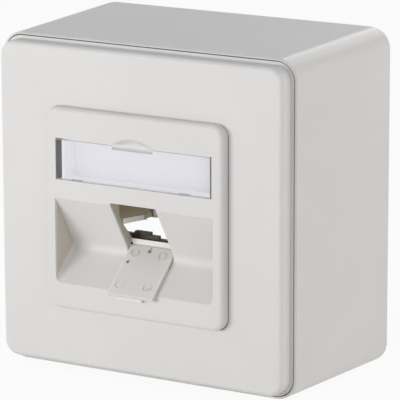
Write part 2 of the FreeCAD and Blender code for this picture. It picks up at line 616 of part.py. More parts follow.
def cheek(body, side, name):
    """Cheek that guides the jack module: a plate with a rail, a notch and a hooked end."""
    front = behind("(recess_top + cheek_low) * incline_tan + recess_wall / 2")
    back_low = "-cheek_low - cheek_fall"
    rail_top = f"{back_low} + rail_height"
    plate = sketch_on(body, name + "Cheek", "YZ_Plane", f"{side}cheek_face")
    outline(plate, [(behind("label_depth + label_floor - moulded_join"), "cheek_top"),
                    (front, "-cheek_low"),
                    (behind("rail_reach"), back_low),
                    (behind("rail_reach"), rail_top),
                    (behind("cheek_reach"), rail_top),
                    (behind("cheek_reach"), "cheek_top")])
    pad(body, plate, "cheek_thick", back=bool(side))
    rail = sketch_on(body, name + "Rail", "YZ_Plane", f"{side}(cheek_face - rail_step)")
    start = behind("(recess_top + cheek_low) * incline_tan + (hinge_inset + rail_clear) / cos(incline_angle)")
    outline(rail, [(start, "-cheek_low"),
                   (behind("rail_reach"), back_low),
                   (behind("rail_reach"), rail_top),
                   (start, "-cheek_low + rail_height")])
    pad(body, rail, "cheek_thick", back=bool(side))
    nose = sketch_on(body, name + "Nose", "YZ_Plane", f"{side}(cheek_face - rail_step)")
    disc(nose, behind("cheek_reach - nose_radius"), rail_top, "nose_radius")
    pad(body, nose, "cheek_thick + rail_step", back=bool(side))


def hinge_lug(body, side, name):
    """Gusset behind the recess, beside the port, that takes one hinge pin."""
    lug = sketch_on(body, name + "Lug", "YZ_Plane", f"{side}port_width / 2")
    outline(lug, [(behind("(wall_top + lug_top) * incline_tan - moulded_join"), "-lug_top"),
                  (behind("hinge_back + lug_reach"), "hinge_height + lug_rise"),
                  (behind("tip_back"), "tip_height"),
                  (behind("hinge_back"), "hinge_height")])
    pad(body, lug, "lug_thick", back=bool(side))


def holder_seat(body, side, name):
    """Rib that the module frame stands on and the snap hook that holds it there."""
    rib = sketch_on(body, name + "Rib", "YZ_Plane", f"{side}holder_opening / 2")
    root = behind("label_depth + label_floor - moulded_join")
    rib_top = "holder_top - holder_bar - carrier_clear"
    outline(rib, [(root, rib_top),
                  (root, "-recess_low + label_depth"),
                  (behind("holder_seat"), "-holder_low"),
                  (behind("holder_seat"), rib_top)])
    pad(body, rib, "rib_thick", back=bool(side))
    inner = f"{side}(hook_face - hook_thick)"
    outer = f"{side}hook_face"
    hook = sketch_on(body, name + "Hook", "XZ_Plane", "plate_face - holder_seat - holder_thick")
    outline(hook, [(inner, "hook_low"), (outer, "hook_low"), (outer, "hook_top"), (inner, "hook_top")])
    pad(body, hook, "holder_seat + holder_thick - label_depth - label_floor + moulded_join")
    barb = sketch_on(body, name + "Barb", "XY_Plane", "hook_low")
    back_face = behind("holder_seat + holder_thick")
    tip = f"{back_face} + 2 * hook_nose"
    outline(barb, [(inner, back_face),
                   (f"{side}(hook_face + hook_nose)", back_face),
                   (f"{side}(hook_face - hook_thick / 2)", tip),
                   (inner, tip)])
    pad(body, barb, "hook_top - hook_low")


def label_field(body):
    """Field for the card and its window, with the thumb scoop, the snap notches and the screw's boss."""
    boss = sketch_on(body, "PlateBoss", "XZ_Plane", "skirt_back")
    disc(boss, "0", "label_middle", "plate_boss_radius")
    pad(body, boss, "label_bed - label_floor / 2 - skirt_back")
    field = sketch_on(body, "LabelField", "XZ_Plane", "plate_face")
    rectangle(field, "-label_width / 2", "label_width / 2", "label_low", "label_top")
    pocket(body, field, "label_depth")
    scoop = sketch_on(body, "ThumbScoop", "XZ_Plane", "plate_face")
    segment(scoop, "scoop_middle", "scoop_radius", "label_middle")
    pocket(body, scoop, "scoop_depth", taper="-scoop_lean")
    notches = sketch_on(body, "SnapNotches", "XZ_Plane", "plate_face - window_sink - snap_thick / 2")
    for side in ("-", ""):
        middle = f"({side}snap_spacing / 2 - snap_shift)"
        half = "(snap_width / 2 + window_gap)"
        rectangle(notches, f"{middle} - {half}", f"{middle} + {half}",
                  "label_low - snap_reach - window_gap", "label_low + snap_reach")
    pocket(body, notches, "snap_thick + 2 * window_gap")
    sink = sketch_on(body, "ScrewSink", "XZ_Plane", "label_bed")
    disc(sink, "0", "label_middle", "plate_head_radius + plate_head_gap")
    pocket(body, sink, "plate_head_sink")
    way = sketch_on(body, "ScrewWay", "XZ_Plane", "label_bed - plate_head_sink")
    disc(way, "0", "label_middle", "screw_radius + screw_free")
    pocket(body, way, "label_bed - plate_head_sink - skirt_back")


def recess_corners(body):
    """Rounding along both sides of the recess's lower face, ended flush with the plate's face.

    The sketch stands square to the lower face at the valley: across is X, up is the height over that face.
    """
    start = "plate_face - valley_back - moulded_join * cos(slope_angle)"
    strips = sketch_on(body, "RecessCorners", "XZ_Plane", start)
    bind(strips, "AttachmentOffset.Base.y", "valley_height + moulded_join * sin(slope_angle)")
    tilt = FreeCAD.Rotation(FreeCAD.Vector(1, 0, 0), 1)
    strips.AttachmentOffset = FreeCAD.Placement(strips.AttachmentOffset.Base, tilt)
    bind(strips, "AttachmentOffset.Rotation.Angle", "slope_angle")
    for side in ("-", ""):
        corner_profile(strips, side)
    pad(body, strips, "(valley_back + plate_rise) / cos(slope_angle)")
    trim = sketch_on(body, "RecessFront", "XZ_Plane", "plate_face")
    square(trim, "plate_width")
    pocket(body, trim, "recess_low", back=True)


def recess_and_port(body):
    """Recess with its rounded valley, the port through its upper face and the seat of the hinge."""
    recess = sketch_on(body, "Recess", "YZ_Plane")
    front = "-plate_rise"
    outline(recess, [(behind(front), f"recess_top - ({front}) / incline_tan"),
                     (behind("valley_back"), "valley_height"),
                     (behind(front), f"-recess_low + ({front}) * slope_tan")])
    pocket(body, recess, "recess_width", both=True)

    def valley(edge):
        middle = edge.CenterOfMass
        deep = abs(middle.y - value(behind("valley_back"))) < NEAR
        return along(edge, "x") and deep and abs(middle.z - value("valley_height")) < NEAR
    round_edges(body, "Valley", "valley_radius", valley)
    recess_corners(body)
    port = sketch_on(body, "Port", "YZ_Plane")
    far = "cheek_reach"
    relief = "flap_relief / cos(slope_angle)"
    end = "valley_back - valley_radius"
    outline(port, [(behind("-plate_edge"), "port_top - plate_edge * incline_tan"),
                   (behind("label_depth"), "port_top + label_depth * incline_tan"),
                   (behind(far), "port_top + label_depth * incline_tan"),
                   (behind(far), f"-recess_low + ({far}) * slope_tan - {relief}"),
                   (behind(end), f"-recess_low + ({end}) * slope_tan - {relief}"),
                   (behind("-plate_edge"), "hinge_height")])
    pocket(body, port, "port_width", both=True)
    room = sketch_on(body, "KnuckleRoom", "YZ_Plane")
    disc(room, behind("hinge_back"), "hinge_height", "knuckle_radius + knuckle_clearance")
    pocket(body, room, "port_width", both=True)
    pins = sketch_on(body, "PinHoles", "YZ_Plane")
    disc(pins, behind("hinge_back"), "hinge_height", "pin_radius + pin_clearance")
    pocket(body, pins, "flap_width + 2 * pin_length + 2 * pin_end_gap", both=True)


def central_plate():
    """Central plate moulded as one piece: head, label field, recess, port and module shaft."""
    body = new_body("central_plate")
    plate_head(body)
    recess_block(body)
    for side, name in (("-", "Left"), ("", "Right")):
        cheek(body, side, name)
        hinge_lug(body, side, name)
        holder_seat(body, side, name)
    label_field(body)
    recess_and_port(body)
    return body


def label_window():
    """Clear window with a foot at each end, a finger lip above and two snap nibs below."""
    body = new_body("label_window")
    front = "plate_face - window_sink"
    pane = sketch_on(body, "Pane", "XZ_Plane", f"{front} - window_thick")
    half = "(label_width / 2 - window_gap)"
    rectangle(pane, f"-{half}", half, "label_low + window_gap", "label_top - window_gap")
    pad(body, pane, "window_thick")
    feet = sketch_on(body, "PaneFeet", "XZ_Plane", "label_bed + card_thick")
    for side in ("-", ""):
        edges = sorted((f"{side}{half}", f"{side}({half} - window_foot)"), key=value)
        rectangle(feet, edges[0], edges[1], "label_low + window_gap", "label_top - window_gap")
    pad(body, feet, f"{front} - window_thick - label_bed - card_thick")
    lip = sketch_on(body, "PaneLip", "XZ_Plane", front)
    lip_half = "(scoop_half - window_lip_inset)"
    rectangle(lip, f"-{lip_half}", lip_half, "label_top - window_gap - window_lip", "label_top - window_gap")
    pad(body, lip, "window_lip_rise")
    nibs = sketch_on(body, "PaneNibs", "XZ_Plane", f"{front} - snap_thick / 2 - window_gap - snap_thick")
    for side in ("-", ""):
        middle = f"({side}snap_spacing / 2 - snap_shift)"
        rectangle(nibs, f"{middle} - snap_width / 2", f"{middle} + snap_width / 2",
                  "label_low - snap_reach", "label_low + window_gap + snap_reach")
    pad(body, nibs, "snap_thick")
    return body


def label_card():
    """Paper card on the floor of the label field."""
    card = doc.addObject("Part::Box", "label_card")
    card.Label = "label_card"
    bind(card, "Length", "label_width - 2 * card_gap")
    bind(card, "Width", "card_thick")
    bind(card, "Height", "label_height - 2 * card_gap")
    bind(card, "Placement.Base.x", "card_gap - label_width / 2")
    bind(card, "Placement.Base.y", "-label_bed - card_thick")
    bind(card, "Placement.Base.z", "label_low + card_gap")
    return card


def dust_flap():
    """Flap with a knuckle, two pins and a finger lip; drawn flat and turned down to lie open.

    The knuckle stands behind the hinge axis only, with a face that is upright while the flap lies open.
    """
    body = new_body("dust_flap")
    leaf = sketch_on(body, "FlapLeaf", "YZ_Plane")
    rectangle(leaf, "-flap_length", "0", "-flap_thick", "0")
    pad(body, leaf, "flap_width", both=True)
    grip = sketch_on(body, "FlapGrip", "YZ_Plane", "-grip_shift")
    outline(grip, [("-flap_length", "-flap_thick"),
                   ("-flap_length", "-flap_thick - grip_rise"),
                   ("-flap_length + grip_rise", "-flap_thick")])
    pad(body, grip, "grip_width", both=True)
    knuckle = sketch_on(body, "FlapKnuckle", "YZ_Plane")
    disc(knuckle, "0", "0", "knuckle_radius")
    pad(body, knuckle, "flap_width", both=True)
    pins = sketch_on(body, "FlapPins", "YZ_Plane")
    disc(pins, "0", "0", "pin_radius")
    pad(body, pins, "flap_width + 2 * pin_length", both=True)
    step = sketch_on(body, "FlapStep", "YZ_Plane")
    far = "2 * knuckle_radius"
    outline(step, [("0", "0"), (f"{far} * sin(slope_angle)", f"{far} * cos(slope_angle)"),
                   (f"-{far}", far), (f"-{far}", "0")])
    pocket(body, step, "flap_width", both=True)
    marks = sketch_on(body, "EjectorMarks", "XY_Plane")
    for across in ("-mark_left", "mark_right"):
        for reach in ("mark_near", "mark_far"):
            disc(marks, across, f"-{reach}", "mark_radius")
    pocket(body, marks, "mark_depth")
    dimple = sketch_on(body, "GateDimple", "XY_Plane")
    disc(dimple, "-dimple_left", "-dimple_reach", "dimple_radius")
    pocket(body, dimple, "dimple_depth")
    slit = sketch_on(body, "FlapSlit", "XY_Plane")
    rectangle(slit, "-slit_shift - slit_width / 2", "slit_width / 2 - slit_shift", "-slit_end", "-slit_start")
    pocket(body, slit, "dimple_depth")
    bind(body, "Placement.Base.y", behind("hinge_back"))
    bind(body, "Placement.Base.z", "hinge_height")
    body.Placement = FreeCAD.Placement(body.Placement.Base, FreeCAD.Rotation(FreeCAD.Vector(1, 0, 0), 1))
    bind(body, "Placement.Rotation.Angle", "slope_angle")
    return body


def module_frame():
    """Black frame on the back of the central plate; its lower bar has a stepped top."""
    body = new_body("module_frame")
    ring = sketch_on(body, "HolderRing", "XZ_Plane", "plate_face - holder_seat - holder_thick")
    rectangle(ring, "-holder_width / 2", "holder_width / 2", "-holder_low", "holder_top")
    opening = "holder_opening / 2"
    outline(ring, [(f"-{opening}", "holder_top - holder_bar"),
                   (f"-{opening}", "-holder_sill - holder_step"),
                   ("holder_step_left", "-holder_sill - holder_step"),
                   ("holder_step_left", "-holder_sill"),
                   ("holder_step_middle", "-holder_sill"),
                   ("holder_step_middle", "-holder_sill - holder_step"),
                   ("holder_step_right", "-holder_sill - holder_step"),
                   ("holder_step_right", "-holder_sill - 2 * holder_step"),
                   (opening, "-holder_sill - 2 * holder_step"),
                   (opening, "holder_top - holder_bar")])
    pad(body, ring, "holder_thick")
    return body


def carrier_plate():
    """Steel plate with cut corners, an opening round the recess, four slots and a drawn collar."""
    body = new_body("carrier_plate")
    sheet_outline = sketch_on(body, "CarrierSheet", "XZ_Plane", "web_front")
    half = "carrier_width / 2"
    cut = "(carrier_width / 2 - carrier_cut)"
    outline(sheet_outline, [(half, f"-{cut}"), (half, cut), (cut, half), (f"-{cut}", half),
                            (f"-{half}", cut), (f"-{half}", f"-{cut}"), (f"-{cut}", f"-{half}"),
                            (cut, f"-{half}")])
    pad(body, sheet_outline, "carrier_thick")
    collar = sketch_on(body, "CarrierCollar", "XZ_Plane", "web_front")
    disc(collar, "0", "label_middle", "collar_radius")
    pad(body, collar, "collar_length", back=True)
    thread = sketch_on(body, "CarrierThread", "XZ_Plane", "carrier_front")
    disc(thread, "0", "label_middle", "screw_radius + screw_fit")
    pocket(body, thread, "carrier_thick + collar_length")
    window = sketch_on(body, "CarrierOpening", "XZ_Plane", "carrier_front")
    rectangle(window, "-carrier_wide", "carrier_wide", "-carrier_foot", "holder_top - holder_bar")
    pocket(body, window, "carrier_thick")
    slots = sketch_on(body, "CarrierSlots", "XZ_Plane", "carrier_front")
    reach = "slot_length / 2"
    for side in ("-", ""):
        middle = f"{side}boss_spacing / 2"
        rectangle(slots, f"{middle} - slot_radius", f"{middle} + slot_radius", f"-{reach}", reach)
        rectangle(slots, f"-{reach}", reach, f"{middle} - slot_radius", f"{middle} + slot_radius")
    pocket(body, slots, "carrier_thick")
    return body


def screw(name, head_radius, head_height, length, across, seat, height):
    """Screw along Y: head in front of a seat depth, shank towards the wall, a cross in the head."""
    turn = FreeCAD.Rotation(FreeCAD.Vector(1, 0, 0), 90)
    places = {"Placement.Base.x": across, "Placement.Base.z": height}
    head = doc.addObject("Part::Cylinder", name + "_head")
    bind(head, "Radius", head_radius)
    bind(head, "Height", head_height)
    shank = doc.addObject("Part::Cylinder", name + "_shank")
    bind(shank, "Radius", "screw_radius")
    bind(shank, "Height", length)
    for item, depth in ((head, seat), (shank, f"{seat} - ({length})")):
        item.Placement = FreeCAD.Placement(FreeCAD.Vector(), turn)
        bind(item, "Placement.Base.y", f"-({depth})")
        for prop, formula in places.items():
            bind(item, prop, formula)
    solid = doc.addObject("Part::Fuse", name + "_solid")
    solid.Base = head
    solid.Tool = shank
    arms = f"2 * cross_share * {head_radius}"
    for step, (wide, tall) in enumerate(((arms, "cross_width"), ("cross_width", arms))):
        bar = doc.addObject("Part::Box", f"{name}_cross_{step}")
        bind(bar, "Length", wide)
        bind(bar, "Width", "cross_depth")
        bind(bar, "Height", tall)
        bind(bar, "Placement.Base.x", f"{across} - ({wide}) / 2")
        bind(bar, "Placement.Base.y", f"-({seat} + {head_height})")
        bind(bar, "Placement.Base.z", f"{height} - ({tall}) / 2")
        cut = doc.addObject("Part::Cut", f"{name}_cut_{step}")
        cut.Base = solid
        cut.Tool = bar
        solid = cut
    return solid


def carrier_screws():
    """Two screws that hold the carrier plate to the housing's bosses."""
    pair = doc.addObject("Part::Compound", "carrier_screws")
    pair.Label = "carrier_screws"
    pair.Links = [screw(f"carrier_screw_{number}", "carrier_head_radius", "carrier_head_height",
                        "carrier_screw_length", f"{side}boss_spacing / 2", "carrier_front", "0")
                  for number, side in enumerate(("-", ""))]
    return pair


def plate_screw():
    """Screw under the label card, through the central plate into the carrier's collar."""
    solid = screw("plate_screw", "plate_head_radius", "plate_head_height", "plate_screw_length",
                  "0", "(label_bed - plate_head_sink)", "label_middle")
    solid.Label = "plate_screw"
    return solid


def check_and_write(parts):
    """Writes every sub-part, after making sure that nothing in the document has failed."""
    doc.recompute()
    for item in doc.Objects:
        if "Invalid" in item.State or "Error" in item.State:
            raise RuntimeError(f"{item.Name} failed: {item.State}")
    for part in parts:
        if part.Shape.isNull() or not part.Shape.isValid():
            raise RuntimeError(f"{part.Label} has no valid shape")
    os.makedirs("parts", exist_ok=True)
    for part in parts:
        part.Shape.exportStep(f"parts/{part.Label}.step")
        print(f"{part.Label}: {len(part.Shape.Solids)} solid(s), {part.Shape.Volume:.1f} mm3")


check_and_write([
    surface_housing(),
    cover_frame(),
    central_plate(),
    label_window(),
    label_card(),
    dust_flap(),
    module_frame(),
    carrier_plate(),
    carrier_screws(),
    plate_screw(),
])
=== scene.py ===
"""Dresses the on-wall data outlet and puts it in a plain white studio, seen from the photograph's place.

Finishes for its mouldings, card, window and steel, and three small pieces that the solids leave out: the rims
of the flap's ejector marks, the webs behind the port's rails and a bead in the gap over the central plate.
Several finishes carry painted shade, painted highlights and a painted reflection, named where they are made.
"""
import math

import bpy
import numpy as np
from mathutils import Matrix, Vector


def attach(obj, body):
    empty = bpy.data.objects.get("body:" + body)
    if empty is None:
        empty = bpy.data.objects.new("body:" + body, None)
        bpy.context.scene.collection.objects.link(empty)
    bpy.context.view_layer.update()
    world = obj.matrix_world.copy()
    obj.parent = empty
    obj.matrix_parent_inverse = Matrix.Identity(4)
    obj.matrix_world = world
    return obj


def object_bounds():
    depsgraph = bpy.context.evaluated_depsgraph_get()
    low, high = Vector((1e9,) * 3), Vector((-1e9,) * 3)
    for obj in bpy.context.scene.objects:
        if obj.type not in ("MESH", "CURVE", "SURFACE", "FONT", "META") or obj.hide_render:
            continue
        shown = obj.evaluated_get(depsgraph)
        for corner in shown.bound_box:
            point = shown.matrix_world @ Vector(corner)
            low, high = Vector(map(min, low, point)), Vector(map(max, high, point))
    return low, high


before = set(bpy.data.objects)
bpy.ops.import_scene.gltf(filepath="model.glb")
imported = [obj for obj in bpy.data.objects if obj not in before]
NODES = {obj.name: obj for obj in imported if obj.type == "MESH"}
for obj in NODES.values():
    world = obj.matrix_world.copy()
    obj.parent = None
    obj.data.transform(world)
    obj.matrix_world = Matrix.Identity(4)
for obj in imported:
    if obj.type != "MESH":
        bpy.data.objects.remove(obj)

CAD_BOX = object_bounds()
MM = 0.001

# Places on the outlet, in metres, and its slopes, as it is drawn
PLATE_FACE = -50.3 * MM
FRAME_FACE = -47.8 * MM
RECESS_TOP = 2.56 * MM
INCLINE = math.radians(32.4)
PORT_WALL = 6.45 * MM
CHEEK_FACE = 6.65 * MM
CHEEK_SIDE = 8.4 * MM
CHEEK_FADE = (-7.0 * MM, 1.5 * MM)
RAIL_DEPTH = 1.9 * MM
RAIL_EDGE = -2.585 * MM
RAIL_FALL = 0.104
RAIL_TOP = -1.8 * MM
RAIL_STOP = 15.2 * MM
RAIL_END = PLATE_FACE + 16.2 * MM
HOOK_START = PLATE_FACE + 19.2 * MM
RECESS_SIDE = 22.0 * MM
RECESS_LOW = -18.0 * MM
WINDOW_LOW = 7.31 * MM
WINDOW_TOP = 17.11 * MM
WINDOW_LEFT = -21.42 * MM
WINDOW_RIGHT = 21.2 * MM
# Nibs where dark painted-shade dashes sit on the window's low edge.
NIB_MARKS = ((-16.6 * MM, 0.5 * MM), (-14.85 * MM, 0.8 * MM), (14.4 * MM, 1.6 * MM))
# Where the painted reflection of the card starts on the window.
MIRROR_START = -19.9 * MM
LIP_LOW = 16.11 * MM
LIP_END = 5.6 * MM
CARD_END = 21.35 * MM
CARD_TOP = 16.96 * MM
FLAP_AXIS = np.array((0.0, -41.1458, -8.7853)) * MM
FLAP_END = 14.74 * MM
FLAP_SIDE = 6.25 * MM
FLAP_SLOPE = math.radians(41.6)
FLAP_ACROSS = np.array((1.0, 0.0, 0.0))
FLAP_ALONG = np.array((0.0, -math.cos(FLAP_SLOPE), -math.sin(FLAP_SLOPE)))
FLAP_OUT = np.array((0.0, -math.sin(FLAP_SLOPE), math.cos(FLAP_SLOPE)))
DIMPLE = (-4.75 * MM, 5.15 * MM)
SLIT_END = (-0.42 * MM, 1.5 * MM)
# Spot in the gap at the hinge's end that gets a black painted shade.
HINGE_GAP_SPOT = (-6.1 * MM, -41.15 * MM, -8.58 * MM)

# Tints, in linear light
# Painted shade in the port: olive on its walls, darker olive on its cheeks; the rails get a pale painted
# light.
WALL_SHADE_OLIVE = (0.55, 0.505, 0.40, 1)
CHEEK_SHADE_OLIVE = (0.255, 0.193, 0.073, 1)
RAIL_PAINTED_LIGHT = (1.0, 1.0, 0.93, 1)
# Painted shade: a warm darker tint on the recess's end walls.
END_WALL_SHADE_TINT = (0.62, 0.572, 0.487, 1)
# Painted shade and painted light on the flap: olive cast on its sides, pale highlights on edges, knuckle and
# grip, darker crease, gap spot and dimple.
FLANK_SHADE_OLIVE = (0.82, 0.80, 0.72, 1)
EDGE_HIGHLIGHT = (0.93, 0.925, 0.905, 1)
KNUCKLE_HIGHLIGHT = (0.87, 0.855, 0.83, 1)
GRIP_LIGHT = (0.94, 0.93, 0.915, 1)
CREASE_SHADE = (0.40, 0.38, 0.34, 1)
PIT_SHADE_BLACK = (0.015, 0.013, 0.01, 1)
DIMPLE_SHADE = (0.50, 0.47, 0.43, 1)
SCUFF_PALE = (0.15, 0.135, 0.115, 1)
# Painted light on the window: grey painted shade and pale painted highlight in the finger lip, painted
# reflection of the card and its edge, dark streaked painted shade at the ends.
LIP_SHADE_GREY = (0.50, 0.49, 0.49, 1)
LIP_HIGHLIGHT = (0.76, 0.755, 0.76, 1)
MIRRORED_CARD = (0.81, 0.81, 0.865, 1)
MIRRORED_EDGE = (0.95, 0.95, 0.98, 1)
STREAK_SHADE_DARK = (0.07, 0.065, 0.06, 1)
STREAK_SHADE_PALE = (0.24, 0.225, 0.215, 1)
CARD_COOL = (0.82, 0.82, 0.875, 1)
CARD_PALE = (0.88, 0.88, 0.925, 1)
# Painted highlight along the card's top and right edges.
CARD_EDGE_HIGHLIGHT = (0.93, 0.93, 0.96, 1)
FLOOR_GREY = (0.9, 0.9, 0.9, 1)
ROOM_TINT = (0.94, 0.95, 1.0, 1)
PURE_WHITE = (1, 1, 1, 1)
LAMP_WARM = (1.0, 0.985, 0.94)
LAMP_WARMER = (1.0, 0.975, 0.90)
LAMP_WHITE = (1.0, 1.0, 1.0)

# Shares of a tint, a cover or a light
CREASE_SHARE = 0.55
LINE_SHARE = 0.55
EDGE_SHARE = 0.8
STRIP_COVER = 0.9
FLOOR_GLOW = 0.93
ROOM_LIGHT = 0.488


# Node helpers

def add_node(tree, kind, place, **settings):
    """Node of a kind at a place in the tree, with its plain settings."""
    node = tree.nodes.new(kind)
    node.location = place
    for name, setting in settings.items():
        setattr(node, name, setting)
    return node


def wire(tree, source, target):
    """Link from one socket to another, or a plain number or colour set on the target."""
    if isinstance(source, bpy.types.NodeSocket):
        tree.links.new(source, target)
    else:
        target.default_value = source


def maths(tree, operation, place, *terms):
    """Math node on numbers or sockets; gives its output."""
    node = add_node(tree, "ShaderNodeMath", place, operation=operation)
    for term, target in zip(terms, node.inputs):
        wire(tree, term, target)
    return node.outputs["Value"]


def product(tree, place, first, *others):
    """Product of several numbers or sockets."""
    for step, other in enumerate(others):
        first = maths(tree, "MULTIPLY", (place[0] + 40 * step, place[1] - 60 * step), first, other)
    return first


def rise(tree, place, value, low, high):
    """Smooth step of a value: 0 up to low, 1 from high on."""
    node = add_node(tree, "ShaderNodeMapRange", place, interpolation_type="SMOOTHSTEP")
    for name, term in (("Value", value), ("From Min", low), ("From Max", high)):
        wire(tree, term, node.inputs[name])
    return node.outputs["Result"]


def spread(tree, place, value, low, high):
    """Straight run of a value from 0 to 1 onto low to high."""
    node = add_node(tree, "ShaderNodeMapRange", place)
    for name, term in (("Value", value), ("To Min", low), ("To Max", high)):
        wire(tree, term, node.inputs[name])
    return node.outputs["Result"]


def mixed(tree, place, share, first, second):
    """Colour that goes from the first to the second with the share."""
    node = add_node(tree, "ShaderNodeMix", place, data_type="RGBA")
    for term, target in ((share, node.inputs[0]), (first, node.inputs[6]), (second, node.inputs[7])):
        wire(tree, term, target)
    return node.outputs[2]


def coordinates(tree, place):
    """Object coordinates of the surface: the vector, and its X, Y and Z."""
    source = add_node(tree, "ShaderNodeTexCoord", place)
    split = add_node(tree, "ShaderNodeSeparateXYZ", (place[0] + 180, place[1]))
    wire(tree, source.outputs["Object"], split.inputs["Vector"])
    return source.outputs["Object"], *split.outputs


def noise(tree, place, vector, scale, detail):
    """Noise on a vector."""
    node = add_node(tree, "ShaderNodeTexNoise", place)
    for name, term in (("Vector", vector), ("Scale", scale), ("Detail", detail)):
        wire(tree, term, node.inputs[name])
    return node.outputs["Fac"]


def new_group(name, inputs, outputs):
    """Empty shader node group with named sockets; gives the tree and its two ends."""
    tree = bpy.data.node_groups.new(name, "ShaderNodeTree")
    for label, kind, start in inputs:
        item = tree.interface.new_socket(label, in_out="INPUT", socket_type=kind)
        item.default_value = start
    for label, kind in outputs:
        tree.interface.new_socket(label, in_out="OUTPUT", socket_type=kind)
    return tree, add_node(tree, "NodeGroupInput", (-900, 0)), add_node(tree, "NodeGroupOutput", (700, 0))


def moulded_skin():
    """Skin of a matt moulding: fine spark-eroded grain, a slow drift of tint and of gloss.

    Grain is noise on the piece's own coordinates, so it stays on the surface in every view.
    """
    tree, start, end = new_group(
        "moulded_skin",
        [("Tint", "NodeSocketColor", (0.8, 0.8, 0.8, 1)),
         ("Shade", "NodeSocketColor", (0.75, 0.75, 0.74, 1)),
         ("Grain size", "NodeSocketFloat", 3000.0),
         ("Gloss low", "NodeSocketFloat", 0.45),
         ("Gloss high", "NodeSocketFloat", 0.6)],
        [("Tint", "NodeSocketColor"), ("Roughness", "NodeSocketFloat"), ("Height", "NodeSocketFloat")])
    vector = coordinates(tree, (-900, -300))[0]
    grain = noise(tree, (-600, -300), vector, start.outputs["Grain size"], detail=3.0)
    drift = rise(tree, (-350, 100), noise(tree, (-600, 100), vector, scale=45.0, detail=4.0), 0.35, 0.65)
    tint = mixed(tree, (0, 150), drift, start.outputs["Tint"], start.outputs["Shade"])
    gloss = spread(tree, (0, -100), grain, start.outputs["Gloss low"], start.outputs["Gloss high"])
    wire(tree, tint, end.inputs["Tint"])
    wire(tree, gloss, end.inputs["Roughness"])
    wire(tree, grain, end.inputs["Height"])
    return tree


MOULDED_SKIN = moulded_skin()


# Finishes

def new_material(name):
    """Material with a Principled surface; gives the material, its tree and the surface node."""
    material = bpy.data.materials.new(name)
    material.use_nodes = True
    tree = material.node_tree
    return material, tree, tree.nodes["Principled BSDF"]


def moulded(name, tint, shade, grain_size, gloss, depth, scuffs_and_painted_light=None):
    """Matt moulded plastic with the shared skin; a function may change its tint by place, with real scuffs or
    with painted shade and painted light.
    """
    material, tree, surface = new_material(name)
    skin = add_node(tree, "ShaderNodeGroup", (-500, 100), node_tree=MOULDED_SKIN)
    settings = (("Tint", (*tint, 1)), ("Shade", (*shade, 1)), ("Grain size", grain_size),
                ("Gloss low", gloss[0]), ("Gloss high", gloss[1]))
    for label, setting in settings:
        skin.inputs[label].default_value = setting
    bump = add_node(tree, "ShaderNodeBump", (-250, -150))
    bump.inputs["Strength"].default_value = 0.25
    bump.inputs["Distance"].default_value = depth
    colour = scuffs_and_painted_light(tree, skin.outputs["Tint"]) if scuffs_and_painted_light else skin.outputs["Tint"]
    wire(tree, skin.outputs["Height"], bump.inputs["Height"])
    wire(tree, colour, surface.inputs["Base Color"])
    wire(tree, skin.outputs["Roughness"], surface.inputs["Roughness"])
    wire(tree, bump.outputs["Normal"], surface.inputs["Normal"])
    surface.inputs["Specular IOR Level"].default_value = 0.35
    return material


